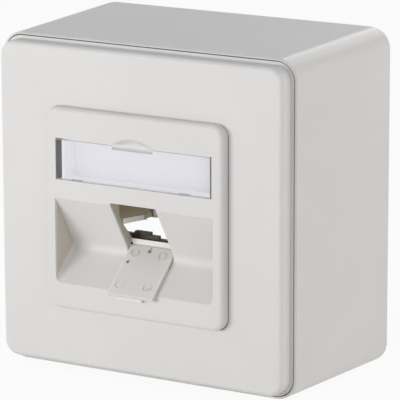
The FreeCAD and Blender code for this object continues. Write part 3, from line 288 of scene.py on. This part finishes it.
def shaft_painted_light_and_shade(tree, tint):
    """Tint of the central plate with painted shade: olive inside the port, darker olive on its cheeks, most
    towards the top, and a warm darker tint on the recess's end walls.

    How far a point lies behind the recess's upper face is worked out from its place. Behind that face the
    strips beside the port are its walls and cheeks, and the rails along the cheeks get a pale painted light.
    """
    _, across, back, up = coordinates(tree, (-1900, 500))
    side = maths(tree, "ABSOLUTE", (-1500, 600), across)
    drop = maths(tree, "SUBTRACT", (-1660, 450), RECESS_TOP, up)
    reach = maths(tree, "SUBTRACT", (-1660, 300), back, PLATE_FACE)
    fall = maths(tree, "MULTIPLY", (-1500, 450), drop, math.sin(INCLINE))
    deep = maths(tree, "MULTIPLY", (-1500, 300), reach, math.cos(INCLINE))
    depth = maths(tree, "SUBTRACT", (-1320, 250), deep, fall)
    below = rise(tree, (-1320, 100), up, RECESS_TOP + 0.6 * MM, RECESS_TOP + 0.2 * MM)
    behind = product(tree, (-1150, 400), rise(tree, (-1320, 400), depth, 0.2 * MM, 0.8 * MM), below)
    # Painted shade inside the port: its walls and cheeks behind the recess's upper face turn olive.
    wall = rise(tree, (-1150, 650), side, PORT_WALL - 0.17 * MM, PORT_WALL - 0.1 * MM)
    near = rise(tree, (-1150, 800), side, CHEEK_SIDE + 0.2 * MM, CHEEK_SIDE)
    shaft_shade = product(tree, (-980, 600), behind, wall, near)

    # Darker olive painted shade on the cheeks, darker towards the top.
    past_wall = rise(tree, (-980, 400), side, PORT_WALL, PORT_WALL + 0.2 * MM)
    cheek = product(tree, (-820, 400), past_wall, rise(tree, (-980, 220), up, *CHEEK_FADE))
    olive = mixed(tree, (-650, 450), cheek, WALL_SHADE_OLIVE, CHEEK_SHADE_OLIVE)

    # Painted light: the rails along the cheeks are painted paler than the plate's own plastic.
    lift = maths(tree, "MULTIPLY_ADD", (-1150, -100), reach, RAIL_FALL, up)
    rail = product(
        tree, (-650, 250),
        rise(tree, (-980, 50), depth, RAIL_DEPTH - 0.1 * MM, RAIL_DEPTH),
        rise(tree, (-980, -100), lift, RAIL_EDGE - 0.15 * MM, RAIL_EDGE - 0.03 * MM),
        rise(tree, (-980, -300), up, RAIL_TOP + 0.2 * MM, RAIL_TOP),
        rise(tree, (-980, -480), reach, RAIL_STOP + 0.2 * MM, RAIL_STOP),
        rise(tree, (-820, -100), side, PORT_WALL + 0.15 * MM, PORT_WALL + 0.08 * MM))
    olive = mixed(tree, (-480, 350), rail, olive, RAIL_PAINTED_LIGHT)

    # Painted shade on the recess's end walls.
    off_wall = maths(tree, "ABSOLUTE", (-980, 950), maths(tree, "SUBTRACT", (-1150, 950), side, RECESS_SIDE))
    end_wall_shade = product(
        tree, (-480, 800),
        rise(tree, (-820, 800), off_wall, 0.1 * MM, 0.04 * MM), below,
        rise(tree, (-820, 980), back, PLATE_FACE + 0.2 * MM, PLATE_FACE + 1.2 * MM),
        rise(tree, (-820, 1150), up, RECESS_LOW - 1.0 * MM, RECESS_LOW - 0.5 * MM))
    warm = mixed(tree, (-320, 600), end_wall_shade, tint, END_WALL_SHADE_TINT)
    return mixed(tree, (-150, 450), shaft_shade, warm, olive)


def flap_painted_light_and_shade(tree, tint):
    """Tint of the flap by place, with painted shade in its gate dimple, at its slit's end, in its hinge
    crease and in a black spot at the gap by the hinge's end.

    Its long sides carry an olive painted shade, its edges and knuckle pale painted highlights and its grip a
    pale painted light. Places on the flap are across, along from the hinge axis, and out from the inner face.
    """
    vector, across, _, _ = coordinates(tree, (-1900, 500))
    side = maths(tree, "ABSOLUTE", (-880, 350), across)
    arm = add_node(tree, "ShaderNodeVectorMath", (-1500, 300), operation="SUBTRACT")
    wire(tree, vector, arm.inputs[0])
    wire(tree, FLAP_AXIS.tolist(), arm.inputs[1])
    reach = []
    for step, direction in enumerate((FLAP_ALONG, FLAP_OUT)):
        dot = add_node(tree, "ShaderNodeVectorMath", (-1320, 400 - 200 * step), operation="DOT_PRODUCT")
        wire(tree, arm.outputs["Vector"], dot.inputs[0])
        wire(tree, direction.tolist(), dot.inputs[1])
        reach.append(dot.outputs["Value"])
    along, out = reach

    def spot(place, middle, far, edge):
        """Round spot at a place across and along the flap."""
        flat = add_node(tree, "ShaderNodeCombineXYZ", place)
        wire(tree, across, flat.inputs[0])
        wire(tree, along, flat.inputs[1])
        gap = add_node(tree, "ShaderNodeVectorMath", (place[0] + 160, place[1]), operation="DISTANCE")
        wire(tree, flat.outputs["Vector"], gap.inputs[0])
        wire(tree, (*middle, 0.0), gap.inputs[1])
        return rise(tree, (place[0] + 320, place[1]), gap.outputs["Value"], far, edge)

    # Painted shade in the gate dimple and at the slit's end.
    dimple = spot((-1100, 700), DIMPLE, 0.6 * MM, 0.35 * MM)
    slit_end = spot((-1100, 500), SLIT_END, 0.78 * MM, 0.42 * MM)
    dark = product(tree, (-540, 300), maths(tree, "MAXIMUM", (-700, 600), dimple, slit_end),
                   rise(tree, (-880, -60), out, 0.25 * MM, 0.1 * MM),
                   rise(tree, (-880, 100), out, -0.7 * MM, -0.5 * MM))
    # Olive painted shade on the flap's long sides.
    flank_shade = product(tree, (-540, 50),
                    rise(tree, (-700, 50), side, FLAP_SIDE - 0.07 * MM, FLAP_SIDE - 0.01 * MM),
                    rise(tree, (-700, -150), out, 0.02 * MM, -0.1 * MM))
    # Pale painted highlight along the free end and the long edges.
    free_end = rise(tree, (-700, 200), along, FLAP_END - 0.3 * MM, FLAP_END - 0.1 * MM)
    long_edge = rise(tree, (-700, 350), side, FLAP_SIDE - 0.3 * MM, FLAP_SIDE - 0.1 * MM)
    edge = product(tree, (-440, 150), maths(tree, "MAXIMUM", (-540, 150), free_end, long_edge),
                   rise(tree, (-700, -20), out, -0.08 * MM, -0.03 * MM))
    # Pale painted highlight on the knuckle and pale painted light on the grip.
    knuckle = rise(tree, (-700, -350), out, 0.1 * MM, 0.2 * MM)
    grip = product(tree, (-540, -500), rise(tree, (-700, -500), out, -0.9 * MM, -1.05 * MM),
                   rise(tree, (-700, -250), along, FLAP_END - 3.0 * MM, FLAP_END - 2.0 * MM))
    # Painted shade in the hinge crease.
    axis_gap = maths(tree, "SQRT", (-880, -500), maths(
        tree, "ADD", (-1040, -500), maths(tree, "MULTIPLY", (-1200, -420), along, along),
        maths(tree, "MULTIPLY", (-1200, -580), out, out)))
    crease = maths(tree, "MULTIPLY", (-540, -350),
                   rise(tree, (-700, -650), axis_gap, 0.34 * MM, 0.1 * MM), CREASE_SHARE)
    # Black painted shade in the gap at the hinge's end.
    gap_spot = add_node(tree, "ShaderNodeVectorMath", (-880, -800), operation="DISTANCE")
    wire(tree, vector, gap_spot.inputs[0])
    wire(tree, HINGE_GAP_SPOT, gap_spot.inputs[1])
    gap_shade = rise(tree, (-700, -800), gap_spot.outputs["Value"], 0.42 * MM, 0.22 * MM)
    layers = ((flank_shade, FLANK_SHADE_OLIVE), (edge, EDGE_HIGHLIGHT), (knuckle, KNUCKLE_HIGHLIGHT), (grip, GRIP_LIGHT),
              (crease, CREASE_SHADE), (gap_shade, PIT_SHADE_BLACK), (dark, DIMPLE_SHADE))
    for step, (mask, colour) in enumerate(layers):
        tint = mixed(tree, (-340 + 30 * step, 300 - 150 * step), mask, tint, colour)
    return tint


def mottled(tree, tint):
    """Tint of the black module frame, broken up by small pale scuffs."""
    vector = coordinates(tree, (-1100, 500))[0]
    scuff = rise(tree, (-600, 500), noise(tree, (-800, 500), vector, scale=1500.0, detail=5.0), 0.4, 0.75)
    return mixed(tree, (-400, 450), scuff, tint, SCUFF_PALE)


def clear_window():
    """Clear acrylic with painted shade: dark streaked ends and dark lines along its front edges and at its
    nibs;
    its finger lip is painted grey shade below a pale painted highlight.

    Its low edge and its left end carry a painted reflection of the card behind it, so the front looks like
    card there.
    It lets all light through to the card.
    """
    material, tree, surface = new_material("clear_acrylic")
    vector, across, back, up = coordinates(tree, (-1900, 0))
    # Painted shade: the window's ends are dark.
    ends = maths(tree, "MAXIMUM", (-900, 80), maths(tree, "GREATER_THAN", (-1100, 80), across, WINDOW_RIGHT),
                 maths(tree, "LESS_THAN", (-1100, -50), across, WINDOW_LEFT))
    proud = maths(tree, "LESS_THAN", (-1300, -200), back, PLATE_FACE + 0.05 * MM)
    lip = product(tree, (-900, -150), proud,
                  maths(tree, "GREATER_THAN", (-1100, -320), up, LIP_LOW - 0.1 * MM))
    front = maths(tree, "LESS_THAN", (-1100, 560), back, PLATE_FACE + 0.2 * MM)
    height = maths(tree, "SUBTRACT", (-1700, 400), up, WINDOW_LOW)

    # Painted shade: dark lines along the low edge, at the nibs and along the top edge.
    low_line = rise(tree, (-1300, 400), height, 0.3 * MM, 0.1 * MM)
    line = maths(tree, "MULTIPLY", (-1100, 400), low_line, LINE_SHARE)
    for step, (middle, half) in enumerate(NIB_MARKS):
        row = 700 + 200 * step
        gap = maths(tree, "ABSOLUTE", (-1500, row), maths(tree, "SUBTRACT", (-1700, row), across, middle))
        mark = product(tree, (-1100, row), rise(tree, (-1300, row), gap, half + 0.3 * MM, half - 0.2 * MM),
                       rise(tree, (-1300, row + 100), height, 0.48 * MM, 0.25 * MM))
        line = maths(tree, "MAXIMUM", (-900, row), line, mark)
    side = maths(tree, "ABSOLUTE", (-1500, 120), across)
    off_lip = maths(tree, "GREATER_THAN", (-1300, 120), side, LIP_END)
    top_line = product(tree, (-1100, 250), off_lip,
                       rise(tree, (-1300, 250), up, WINDOW_TOP - 0.4 * MM, WINDOW_TOP - 0.2 * MM))
    # The painted-shade lines are broken up by noise.
    patchy = spread(tree, (-900, 560), noise(tree, (-1100, 1300), vector, scale=380.0, detail=2.0), 0.55, 1.0)
    edge = product(tree, (-700, 350), maths(tree, "MAXIMUM", (-800, 300), line, top_line), patchy, front)
    dark = maths(tree, "MAXIMUM", (-500, 200), ends, maths(tree, "MULTIPLY", (-600, 150), edge, EDGE_SHARE))

    # Painted reflection of the card on the low edge and the left end.
    low_strip = rise(tree, (-1100, -480), height, 1.7 * MM, 0.6 * MM)
    left_strip = rise(tree, (-1100, -640), across, MIRROR_START + 4.5 * MM, MIRROR_START + 0.8 * MM)
    mirror = product(tree, (-600, -450), maths(tree, "MAXIMUM", (-900, -500), low_strip, left_strip), front,
                     rise(tree, (-900, -700), across, MIRROR_START - 0.1 * MM, MIRROR_START + 0.1 * MM))
    card_edge = rise(tree, (-700, -50), across, MIRROR_START + 0.9 * MM, MIRROR_START + 0.6 * MM)
    card = mixed(tree, (-500, -50), card_edge, MIRRORED_CARD, MIRRORED_EDGE)
    # Finger lip: grey painted shade below a pale painted highlight.
    lip_height = rise(tree, (-700, -300), up, LIP_LOW + 0.3 * MM, LIP_LOW + 0.9 * MM)
    pale = mixed(tree, (-320, -50), lip, card, mixed(tree, (-500, -200), lip_height, LIP_SHADE_GREY, LIP_HIGHLIGHT))

    # Streaks in the dark painted shade of the ends.
    streak = add_node(tree, "ShaderNodeMapping", (-700, -900))
    streak.inputs["Scale"].default_value = (1.0, 2600.0, 90.0)
    wire(tree, vector, streak.inputs["Vector"])
    streaks = noise(tree, (-500, -900), streak.outputs["Vector"], scale=1.0, detail=2.0)
    shaded = mixed(tree, (-320, -700), streaks, STREAK_SHADE_DARK, STREAK_SHADE_PALE)
    wire(tree, mixed(tree, (-150, 100), dark, pale, shaded), surface.inputs["Base Color"])

    pale_part = maths(tree, "MAXIMUM", (-600, -300), lip, mirror)
    cover = maths(tree, "MAXIMUM", (-320, -250), dark,
                  maths(tree, "MULTIPLY", (-450, -420), pale_part, STRIP_COVER))
    path = add_node(tree, "ShaderNodeLightPath", (-500, -1150)).outputs
    lit = maths(tree, "SUBTRACT", (-320, -1000), 1.0, path["Is Shadow Ray"])
    alpha = product(tree, (-20, -250), lit, spread(tree, (-150, -200), cover, 0.05, 0.94))
    wire(tree, alpha, surface.inputs["Alpha"])
    surface.inputs["Roughness"].default_value = 0.12
    surface.inputs["Specular IOR Level"].default_value = 0.4
    return material


def card_paper():
    """Uncoated card with short fibres, a faint cool tint and a painted highlight along its top and right
    edges.
    """
    material, tree, surface = new_material("card_paper")
    stretch = add_node(tree, "ShaderNodeMapping", (-620, 0))
    stretch.inputs["Scale"].default_value = (700.0, 700.0, 2600.0)
    vector, across, _, up = coordinates(tree, (-1200, 0))
    wire(tree, vector, stretch.inputs["Vector"])
    fibre = noise(tree, (-430, 0), stretch.outputs["Vector"], scale=1.0, detail=5.0)
    plain = mixed(tree, (-430, 200), fibre, CARD_COOL, CARD_PALE)
    # Painted highlight along the card's top and right edges.
    inset = maths(tree, "MINIMUM", (-620, 350), maths(tree, "SUBTRACT", (-800, 400), CARD_END, across),
                  maths(tree, "SUBTRACT", (-800, 250), CARD_TOP, up))
    top_right_highlight = rise(tree, (-430, 400), inset, 0.9 * MM, 0.5 * MM)
    tint = mixed(tree, (-200, 150), top_right_highlight, plain, CARD_EDGE_HIGHLIGHT)
    bump = add_node(tree, "ShaderNodeBump", (-200, -200))
    bump.inputs["Strength"].default_value = 0.3
    bump.inputs["Distance"].default_value = 0.02 * MM
    wire(tree, fibre, bump.inputs["Height"])
    wire(tree, tint, surface.inputs["Base Color"])
    wire(tree, bump.outputs["Normal"], surface.inputs["Normal"])
    surface.inputs["Roughness"].default_value = 0.9
    surface.inputs["Specular IOR Level"].default_value = 0.2
    return material


def zinc_steel(name, brightness, brush):
    """Zinc-plated steel: cell-like spangle in its tint, and drawn lines along one axis in its gloss."""
    material, tree, surface = new_material(name)
    vector = coordinates(tree, (-1100, 0))[0]
    spangle = add_node(tree, "ShaderNodeTexVoronoi", (-600, 150))
    spangle.inputs["Scale"].default_value = 600.0
    wire(tree, vector, spangle.inputs["Vector"])
    stretch = add_node(tree, "ShaderNodeMapping", (-720, -200))
    stretch.inputs["Scale"].default_value = brush
    wire(tree, vector, stretch.inputs["Vector"])
    lines = noise(tree, (-540, -200), stretch.outputs["Vector"], scale=1.0, detail=4.0)
    cool = brightness * np.array((0.92, 0.93, 0.95))
    warm = brightness * np.array((1.0, 1.0, 0.98))
    tint = mixed(tree, (-250, 200), spangle.outputs["Distance"], (*cool, 1), (*warm, 1))
    wire(tree, tint, surface.inputs["Base Color"])
    wire(tree, spread(tree, (-250, -50), lines, 0.28, 0.5), surface.inputs["Roughness"])
    surface.inputs["Metallic"].default_value = 1.0
    return material


def dress_nodes():
    """Gives every CAD node the finish of its real piece; gives the finishes by node."""
    smooth = (3400.0, (0.42, 0.56), 0.012 * MM)
    grained = (2600.0, (0.3, 0.4), 0.02 * MM)
    rough = (3000.0, (0.45, 0.6), 0.02 * MM)
    finishes = {
        "surface_housing": moulded("housing_plastic", (0.715, 0.70, 0.675), (0.70, 0.685, 0.66), *grained),
        "cover_frame": moulded("cover_plastic", (0.765, 0.757, 0.745), (0.75, 0.742, 0.73), *smooth),
        "central_plate": moulded("plate_plastic", (0.76, 0.75, 0.735), (0.745, 0.735, 0.72), *smooth,
                                 shaft_painted_light_and_shade),
        "dust_flap": moulded("flap_plastic", (0.785, 0.77, 0.745), (0.77, 0.755, 0.73), *smooth,
                             flap_painted_light_and_shade),
        "module_frame": moulded("holder_plastic", (0.075, 0.066, 0.055), (0.09, 0.079, 0.066), *rough,
                                mottled),
        "label_window": clear_window(),
        "label_card": card_paper(),
        "carrier_plate": zinc_steel("carrier_steel", 0.66, (200.0, 4000.0, 4000.0)),
        "carrier_screws": zinc_steel("screw_steel", 0.6, (3000.0, 300.0, 3000.0)),
    }
    finishes["plate_screw"] = finishes["carrier_screws"]
    for name, finish in finishes.items():
        slots = NODES[name].data.materials
        slots.clear()
        slots.append(finish)
    return finishes


# Pieces

def put_surface(name, points, faces, finish, body, caps=()):
    """Mesh object from whole arrays of points and quads, with end caps, a finish and a body to ride on."""
    outlines = faces.reshape(-1, 4).tolist() + [list(cap) for cap in caps]
    mesh = bpy.data.meshes.new(name)
    mesh.from_pydata(points.reshape(-1, 3).tolist(), [], outlines)
    mesh.polygons.foreach_set("use_smooth", np.ones(len(mesh.polygons), dtype=bool))
    mesh.materials.append(finish)
    piece = bpy.data.objects.new(name, mesh)
    bpy.context.scene.collection.objects.link(piece)
    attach(piece, body)


def ejector_rims(finish):
    """Low rims that the ejector pins left round their marks on the flap's inner face.

    Each rim is a ring of flat oval section. At turn a round the ring and turn b round the section a point
    is centre + (radius + half width * cos b) * (cos a * across + sin a * along) + height * sin b * out.
    """
    across = np.array((-4.1, -4.1, 3.6, 3.6, 3.75)) * MM
    along = np.array((2.35, 11.7, 2.35, 11.7, 12.3)) * MM
    radius = np.array((0.95, 1.2, 0.9, 1.2, 0.5)) * MM
    half_width = 0.13 * MM
    height = 0.09 * MM
    rings, steps, turns = len(radius), 48, 10
    a = np.linspace(0.0, 2.0 * np.pi, steps, endpoint=False)[None, :, None, None]
    b = np.linspace(0.0, 2.0 * np.pi, turns, endpoint=False)[None, None, :, None]
    centre = FLAP_AXIS + across[:, None] * FLAP_ACROSS + along[:, None] * FLAP_ALONG
    spoke = np.cos(a) * FLAP_ACROSS + np.sin(a) * FLAP_ALONG
    reach = radius[:, None, None, None] + half_width * np.cos(b)
    points = centre[:, None, None, :] + reach * spoke + height * np.sin(b) * FLAP_OUT
    index = np.arange(rings * steps * turns).reshape(rings, steps, turns)
    after = np.roll(index, -1, axis=2)
    faces = np.stack([index, after, np.roll(after, -1, axis=1), np.roll(index, -1, axis=1)], axis=-1)
    put_surface("ejector_rims", points, faces, finish, "flap")


def cheek_webs(finish):
    """Webs that close the notch between each rail's end and the hooked end of its cheek.

    The section is a rounded oblong: at turn a it stands at half width * root(cos a) across and half height *
    root(sin a) up, with the signs kept. It is carried straight back from the rail's end into the hook.
    """
    half_width = 0.6 * MM
    half_height = 0.72 * MM
    middle = CHEEK_FACE + 0.45 * MM
    level = -3.5 * MM
    steps, turns = 6, 32
    a = np.linspace(0.0, 2.0 * np.pi, turns, endpoint=False)[None, None, :]
    b = np.linspace(RAIL_END - 0.15 * MM, HOOK_START + 0.5 * MM, steps)[None, :, None]
    hand = np.array((-1.0, 1.0))[:, None, None]
    wide = half_width * np.sign(np.cos(a)) * np.sqrt(np.abs(np.cos(a)))
    high = half_height * np.sign(np.sin(a)) * np.sqrt(np.abs(np.sin(a)))
    shape = (len(hand), steps, turns)
    spans = (hand * middle + wide, b, level + high)
    points = np.stack([np.broadcast_to(span, shape) for span in spans], axis=-1)
    index = np.arange(points[..., 0].size).reshape(shape)
    after = np.roll(index, -1, axis=2)
    faces = np.stack([index[:, 1:], after[:, 1:], after[:, :-1], index[:, :-1]], axis=-1)
    caps = np.concatenate([index[:, 0], index[:, -1, ::-1]])
    put_surface("cheek_webs", points, faces, finish, "outlet", caps)


def gap_bead(finish):
    """Bead low in the gap over the central plate, where the plate sits tight under the cover frame.

    Its line is a rounded square: at turn a it stands at (half - corner) * (sign of cos a, sign of sin a) +
    corner * (cos a, sin a), over the upper turns only. A round section of turn b is carried along that line.
    """
    half, corner, thick = 24.75 * MM, 3.0 * MM, 0.13 * MM
    depth = FRAME_FACE + 0.22 * MM
    steps, turns = 40, 10
    start = 0.05
    a = np.linspace(start, np.pi - start, steps)[:, None]
    b = np.linspace(0.0, 2.0 * np.pi, turns, endpoint=False)[None, :]
    reach = corner + thick * np.cos(b)
    across = (half - corner) * np.sign(np.cos(a)) + reach * np.cos(a)
    up = half - corner + reach * np.sin(a)
    back = np.broadcast_to(depth + thick * np.sin(b), across.shape)
    points = np.stack([across, back, up], axis=-1)
    index = np.arange(steps * turns).reshape(steps, turns)
    after = np.roll(index, -1, axis=1)
    faces = np.stack([index[:-1], index[1:], after[1:], after[:-1]], axis=-1)
    put_surface("gap_bead", points, faces, finish, "outlet", (index[0], index[-1, ::-1]))


# Stage

def stand_camera():
    """Long lens on a tripod, from azimuth, elevation and roll round a point of the object."""
    azimuth, elevation, roll = (math.radians(angle) for angle in (31.097, 12.922, -0.147))
    aim = Vector((2.569, -23.8, -0.421)) * MM
    distance = 761.28 * MM
    back = Vector((math.sin(azimuth) * math.cos(elevation), -math.cos(azimuth) * math.cos(elevation),
                   math.sin(elevation)))
    level = Vector((math.cos(azimuth), math.sin(azimuth), 0.0))
    upright = back.cross(level)
    right = math.cos(roll) * level + math.sin(roll) * upright
    up = math.cos(roll) * upright - math.sin(roll) * level
    lens = bpy.data.cameras.new("camera")
    lens.sensor_width = 36.0
    lens.lens = 282.47
    lens.clip_start = 0.01
    lens.clip_end = 20.0
    camera = bpy.data.objects.new("camera", lens)
    turn = Matrix((right, up, back)).transposed().to_4x4()
    camera.matrix_world = Matrix.Translation(aim + distance * back) @ turn
    bpy.context.scene.collection.objects.link(camera)
    bpy.context.scene.camera = camera


def seen_directly(tree, place):
    """Value that is 1 for rays straight from the camera, off a gloss or through something clear."""
    path = add_node(tree, "ShaderNodeLightPath", place).outputs
    first = maths(tree, "MAXIMUM", (place[0] + 200, place[1]), path["Is Camera Ray"], path["Is Glossy Ray"])
    return maths(tree, "MAXIMUM", (place[0] + 380, place[1]), first, path["Is Transmission Ray"])


def white_room():
    """World that is white to look at and gives an even, weaker light to the object."""
    world = bpy.data.worlds.new("white_room")
    bpy.context.scene.world = world
    world.use_nodes = True
    tree = world.node_tree
    tree.nodes.clear()
    even = add_node(tree, "ShaderNodeBackground", (0, 100))
    even.inputs["Color"].default_value = ROOM_TINT
    even.inputs["Strength"].default_value = ROOM_LIGHT
    white = add_node(tree, "ShaderNodeBackground", (0, -50))
    white.inputs["Color"].default_value = PURE_WHITE
    mix = add_node(tree, "ShaderNodeMixShader", (250, 50))
    wire(tree, seen_directly(tree, (-500, 250)), mix.inputs[0])
    wire(tree, even.outputs[0], mix.inputs[1])
    wire(tree, white.outputs[0], mix.inputs[2])
    out = add_node(tree, "ShaderNodeOutputWorld", (450, 50))
    wire(tree, mix.outputs[0], out.inputs["Surface"])


def soft_lamp(name, place, size, power, colour, matt=True, gloss=True):
    """Soft box of a width and height at a place, turned to the object; it may light matt or gloss alone."""
    lamp = bpy.data.lights.new(name, "AREA")
    lamp.shape = "RECTANGLE"
    lamp.size, lamp.size_y = size
    lamp.energy = power
    lamp.color = colour
    holder = bpy.data.objects.new(name, lamp)
    holder.location = place
    middle = Vector((0.0, -20.0, 0.0)) * MM
    holder.rotation_euler = (middle - Vector(place)).to_track_quat("-Z", "Y").to_euler()
    holder.visible_camera = False
    holder.visible_diffuse = matt
    holder.visible_glossy = gloss
    bpy.context.scene.collection.objects.link(holder)


def pale_floor():
    """Level sheet under the object; white to look at, with a faint shadow left in it."""
    level = CAD_BOX[0].z
    half = 2.0
    corners = np.array([(-1, -1), (1, -1), (1, 1), (-1, 1)]) * half
    mesh = bpy.data.meshes.new("floor")
    mesh.from_pydata(np.column_stack([corners, np.full(4, level)]).tolist(), [], [(0, 1, 2, 3)])
    floor = bpy.data.objects.new("floor", mesh)
    bpy.context.scene.collection.objects.link(floor)
    material = bpy.data.materials.new("floor_paper")
    material.use_nodes = True
    tree = material.node_tree
    tree.nodes.clear()
    paper = add_node(tree, "ShaderNodeBsdfDiffuse", (0, 100))
    paper.inputs["Color"].default_value = FLOOR_GREY
    glow = add_node(tree, "ShaderNodeEmission", (0, -50))
    glow.inputs["Strength"].default_value = 1.0
    mix = add_node(tree, "ShaderNodeMixShader", (300, 50))
    share = maths(tree, "MULTIPLY", (50, 300), seen_directly(tree, (-500, 300)), FLOOR_GLOW)
    wire(tree, share, mix.inputs[0])
    wire(tree, paper.outputs[0], mix.inputs[1])
    wire(tree, glow.outputs[0], mix.inputs[2])
    out = add_node(tree, "ShaderNodeOutputMaterial", (500, 50))
    wire(tree, mix.outputs[0], out.inputs["Surface"])
    mesh.materials.append(material)


FINISHES = dress_nodes()
ejector_rims(FINISHES["dust_flap"])
cheek_webs(FINISHES["central_plate"])
gap_bead(FINISHES["cover_frame"])
stand_camera()
white_room()
soft_lamp("key", (-0.24, -0.53, 0.045), (0.3, 0.12), 1.24, LAMP_WARM)
soft_lamp("side", (0.73, 0.16, 0.09), (0.3, 0.2), 1.0, LAMP_WARMER, gloss=False)
soft_lamp("back", (0.48, 0.58, 0.09), (0.3, 0.2), 0.8, LAMP_WARMER, gloss=False)
soft_lamp("fill", (0.5, -0.42, 0.05), (0.3, 0.2), 0.25, LAMP_WARM, gloss=False)
soft_lamp("strip", (-0.1, 0.95, 0.5), (0.6, 0.2), 1.8, LAMP_WHITE, matt=False)
pale_floor()
bpy.context.scene.view_settings.view_transform = "Standard"
